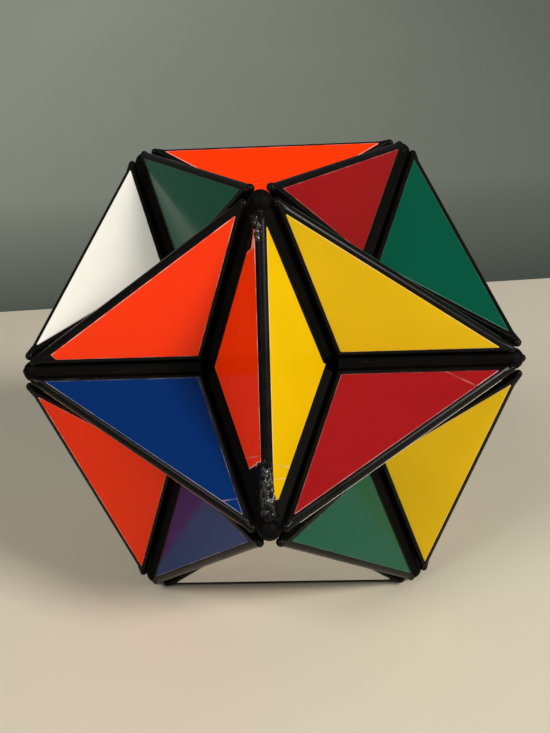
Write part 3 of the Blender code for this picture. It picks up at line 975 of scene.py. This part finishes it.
def scuff_mesh(name, start, end, left, right, narrowed, seed):
    """A patch of torn, melted-looking skin over a stretch of ridge, sunk into it all round."""
    shift = Vector((seed * SCUFF_SHIFT, 0.0, 0.0))
    rows = round(abs(end - start) / SCUFF_STEP)
    columns = round((right - left) / SCUFF_STEP)
    bm = bmesh.new()
    skin, back = [], []
    for i, j in itertools.product(range(rows + 1), range(columns + 1)):
        share, over = i / rows, j / columns
        along = start + (end - start) * share
        width = 1.0 + (narrowed - 1.0) * share
        round_it = width * (left + (right - left) * over)
        lift = scuff_lift(along, round_it, share, over, shift)
        skin.append(bm.verts.new(on_ridge(along, round_it, lift)))
        back.append(bm.verts.new(on_ridge(along, round_it, -SCUFF_BACK)))
    stride = columns + 1
    for i, j in itertools.product(range(rows), range(columns)):
        corner = i * stride + j
        for layer in (skin, back):
            bm.faces.new([layer[corner + step] for step in (0, 1, stride + 1, stride)])
    rim = list(range(columns)) + [i * stride + columns for i in range(rows)]
    rim += [rows * stride + j for j in range(columns, 0, -1)] + [i * stride for i in range(rows, 0, -1)]
    for first, second in zip(rim, rim[1:] + rim[:1]):
        bm.faces.new((skin[first], skin[second], back[second], back[first]))
    return smooth_mesh(object_from(bm, name), angle=60.0)


# ---------------------------------------------------------------- springs


def spring_mesh():
    """Compression spring, closed at both ends, between a screw's head and the inside of the core."""
    curve = bpy.data.curves.new("spring", "CURVE")
    curve.dimensions = "3D"
    spline = curve.splines.new("POLY")
    spline.points.add(SPRING_STEPS)
    wire = 2.0 * SPRING_WIRE_RADIUS
    open_height = SPRING_HIGH - SPRING_LOW - 3.0 * wire
    for k in range(SPRING_STEPS + 1):
        share = k / SPRING_STEPS
        turn = math.tau * SPRING_TURNS * share
        wound = share * SPRING_TURNS
        left = SPRING_TURNS - wound
        first_coil = min(wound, CLOSED_TURNS) / CLOSED_TURNS
        last_coil = max(CLOSED_TURNS - left, 0.0) / CLOSED_TURNS
        rise = min(max((wound - CLOSED_TURNS) / (SPRING_TURNS - 2.0 * CLOSED_TURNS), 0.0), 1.0)
        height = SPRING_LOW + wire / 2 + wire * (first_coil + last_coil) + open_height * rise
        x, y = SPRING_RADIUS * math.cos(turn), SPRING_RADIUS * math.sin(turn)
        spline.points[k].co = (x, y, height, 1.0)
    curve.bevel_depth = SPRING_WIRE_RADIUS
    curve.bevel_resolution = 2
    curve.use_fill_caps = True
    maker = bpy.data.objects.new("spring", curve)
    bpy.context.scene.collection.objects.link(maker)
    bpy.context.view_layer.update()
    mesh = bpy.data.meshes.new_from_object(maker.evaluated_get(bpy.context.evaluated_depsgraph_get()))
    bpy.data.objects.remove(maker, do_unlink=True)
    mesh.transform(Matrix.Scale(MM, 4))
    for polygon in mesh.polygons:
        polygon.use_smooth = True
    return mesh


# ---------------------------------------------------------------- assembly


def build_edge_pieces():
    shell = edge_mesh()
    for first, second in EDGES:
        node_name = f"edge_{first}_{second}"
        rotation = edge_rotation(POINTS[first], POINTS[second])
        body = f"piece_{first}_{second}"
        piece = put("shell_" + node_name, shell, rotation, [BLACK], body)
        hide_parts(node_name)


def build_labels():
    facets = all_facets()
    colours = choose_colours(facets)
    for seed, (first, second, sign, side) in enumerate(facets):
        colour = colours[first, second, sign]
        rotation = edge_rotation(POINTS[first], POINTS[second])
        name = f"label_{first}_{second}_facing_{side}"
        mesh = label_mesh(name, (first, second, side), sign, seed)
        put(name, mesh, rotation, VINYL[colour], f"piece_{first}_{second}")


def build_scuffs():
    rotation = edge_rotation(POINTS["top_front"], POINTS["lower_front"])
    for seed, (where, patch) in enumerate(SCUFFS.items()):
        mesh = scuff_mesh("scuff_" + where, *patch, seed)
        put("scuff_" + where, mesh, rotation, [SCUFFED_BLACK], "piece_top_front_lower_front")


def build_caps():
    cap = cap_mesh()
    spring = spring_mesh()
    for name in POINTS:
        rotation = cap_rotation(name)
        piece = put("cap_" + name, cap, rotation, [CAP_BLACK], "star_" + name)
        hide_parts("point_cap_" + name)
        put("spring_" + name, spring, rotation, [STEEL], "star_" + name)


def finish_cad_pieces():
    """Gives the CAD pieces that stay, the screws and the core, their own materials."""
    for name in POINTS:
        frame["nodes"]["screw_" + name].data.materials[0] = STEEL
    for half in ("core_front_half", "core_rear_half"):
        frame["nodes"][half].data.materials[0] = CORE_BLACK


def build_surroundings():
    """A plain floor, and behind it a darker backdrop with painted shade, that slopes up gently.

    Either spans two lines, each given as (how far back it lies, its slant, its height over the floor).
    """
    level = CAD_BOX[0][2] - FLOOR_GAP
    front = (-FLOOR_REACH, 0.0, 0.0)
    line = (BACKDROP_DISTANCE, BACKDROP_SLANT, 0.0)
    top = (FLOOR_REACH, BACKDROP_SLANT, (FLOOR_REACH - BACKDROP_DISTANCE) * BACKDROP_SLOPE)
    for name, lines, material in (
        ("floor", (front, line), painted("floor_paint", FLOOR_COLOUR)),
        ("backdrop", (line, top), backdrop_painted_shade("backdrop_painted_shade", BACKDROP_COLOUR, BACKDROP_PAINTED_SHADE)),
    ):
        bm = bmesh.new()
        corners = []
        for y, slant, z in lines:
            corners.append([bm.verts.new((x, y + slant * x, level + z)) for x in (-FLOOR_REACH, FLOOR_REACH)])
        near, far = corners
        bm.faces.new((near[0], near[1], far[1], far[0]))
        piece = object_from(bm, name)
        piece.data.materials.append(material)


def towards(azimuth, elevation):
    """A direction from the puzzle, by degrees: azimuth 0 is the front and 90 is the right."""
    turn, rise = math.radians(azimuth), math.radians(elevation)
    return Vector((math.sin(turn) * math.cos(rise), -math.cos(turn) * math.cos(rise), math.sin(rise)))


def area_light(name, azimuth, elevation, distance, size, power, colour):
    data = bpy.data.lights.new(name, "AREA")
    data.size = size
    data.energy = power
    data.color = colour
    lamp = bpy.data.objects.new(name, data)
    away = towards(azimuth, elevation)
    lamp.location = away * distance
    lamp.rotation_euler = away.to_track_quat("Z", "Y").to_euler()
    bpy.context.scene.collection.objects.link(lamp)


def build_light():
    world = bpy.data.worlds.new("studio")
    world.use_nodes = True
    background = world.node_tree.nodes["Background"]
    background.inputs["Color"].default_value = SKY_COLOUR
    background.inputs["Strength"].default_value = SKY_STRENGTH
    bpy.context.scene.world = world
    bpy.context.scene.view_settings.view_transform = "Standard"
    for name, settings in LIGHTS.items():
        area_light(name, *settings)


def build_camera():
    """Close and slightly above the front, a little to the right of the middle."""
    data = bpy.data.cameras.new("camera")
    data.sensor_width = CAMERA_SENSOR
    data.lens = CAMERA_LENS
    data.clip_start = CAMERA_CLIP
    camera = bpy.data.objects.new("camera", data)
    away = towards(CAMERA_AZIMUTH, CAMERA_ELEVATION)
    roll = Matrix.Rotation(math.radians(CAMERA_ROLL), 3, "Z").to_quaternion()
    camera.location = Vector(CAMERA_TARGET) + away * CAMERA_DISTANCE
    camera.rotation_euler = (away.to_track_quat("Z", "Y") @ roll).to_euler()
    bpy.context.scene.collection.objects.link(camera)
    bpy.context.scene.camera = camera


build_edge_pieces()
build_labels()
build_scuffs()
build_caps()
finish_cad_pieces()
build_surroundings()
build_light()
build_camera()
